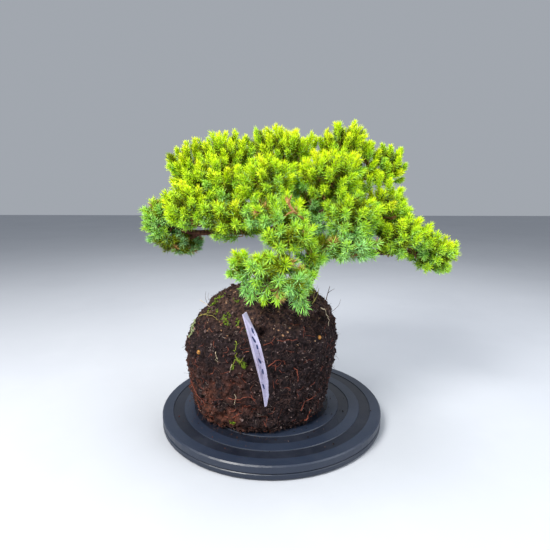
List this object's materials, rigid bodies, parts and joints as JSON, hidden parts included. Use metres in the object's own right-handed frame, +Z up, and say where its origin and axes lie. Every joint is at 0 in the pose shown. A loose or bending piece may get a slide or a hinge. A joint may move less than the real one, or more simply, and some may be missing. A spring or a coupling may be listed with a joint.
{
  "type": "dwarf juniper bonsai tree with a bare root ball on a swivel turntable",
  "caption": "Small needle-leaved bonsai tree out of its pot, its bare round root ball with a plant label standing on a black swivel turntable with ridged rings.",
  "frame": {"origin": "where the turntable's swivel axis meets the table, 0.8 mm below the middle of the base plate's flat underside", "axes": "+Z up along the swivel axis; +X along the longest spread of the foliage, towards its low right-hand tip; -Y towards the front, where the label is and the foliage hangs lowest"},
  "size_m": [0.3508, 0.25, 0.3377],
  "materials": {
    "juniper_needles": "matte",
    "bark": "matte",
    "peat_and_roots": "matte",
    "moss": "matte",
    "fertiliser": "satin",
    "label_plastic": "satin",
    "black_plastic": "matte",
    "foot_rubber": "matte",
    "nylon": "satin",
    "steel": "satin"
  },
  "bodies": {
    "base": {"turntable_base_plate": "black_plastic", "rubber_foot_1": "foot_rubber", "rubber_foot_2": "foot_rubber", "rubber_foot_3": "foot_rubber", "rubber_foot_4": "foot_rubber", "bearing_ball_1": "steel", "bearing_ball_2": "steel", "bearing_ball_3": "steel", "bearing_ball_4": "steel", "bearing_ball_5": "steel", "bearing_ball_6": "steel", "bearing_ball_7": "steel", "bearing_ball_8": "steel", "ball_cage": "nylon", "retaining_washer": "steel", "centre_screw": "steel"},
    "top": {"fertiliser_pellet_left": "fertiliser", "fertiliser_pellet_right": "fertiliser", "foliage_back_far_right": "juniper_needles", "foliage_back_left": "juniper_needles", "foliage_back_low_left": "juniper_needles", "foliage_back_middle": "juniper_needles", "foliage_back_right": "juniper_needles", "foliage_cascade_left_sprig": "juniper_needles", "foliage_cascade_low": "juniper_needles", "foliage_cascade_middle": "juniper_needles", "foliage_cascade_right": "juniper_needles", "foliage_cascade_top": "juniper_needles", "foliage_crown_back_left": "juniper_needles", "foliage_crown_left": "juniper_needles", "foliage_crown_middle": "juniper_needles", "foliage_crown_peak": "juniper_needles", "foliage_crown_right_back": "juniper_needles", "foliage_crown_right_middle": "juniper_needles", "foliage_front_left_high": "juniper_needles", "foliage_front_left_mid": "juniper_needles", "foliage_front_middle": "juniper_needles", "foliage_front_middle_high": "juniper_needles", "foliage_heart": "juniper_needles", "foliage_left_drop": "juniper_needles", "foliage_left_lobe": "juniper_needles", "foliage_left_shoulder": "juniper_needles", "foliage_right_high": "juniper_needles", "foliage_right_lobe": "juniper_needles", "foliage_right_low": "juniper_needles", "foliage_right_middle": "juniper_needles", "foliage_right_shoulder": "juniper_needles", "foliage_right_tip": "juniper_needles", "moss_at_front": "moss", "moss_on_mound": "moss", "moss_on_rim": "moss", "plant_label": "label_plastic", "root_ball": "peat_and_roots", "trunk_and_limbs": "bark", "turntable_top_plate": "black_plastic"}
  },
  "joints": [
    {"name": "turntable_spin", "type": "hinge", "parent": "base", "child": "top", "pos_m": [0, 0, 0], "axis": [0, 0, 1], "continuous": true}
  ]
}
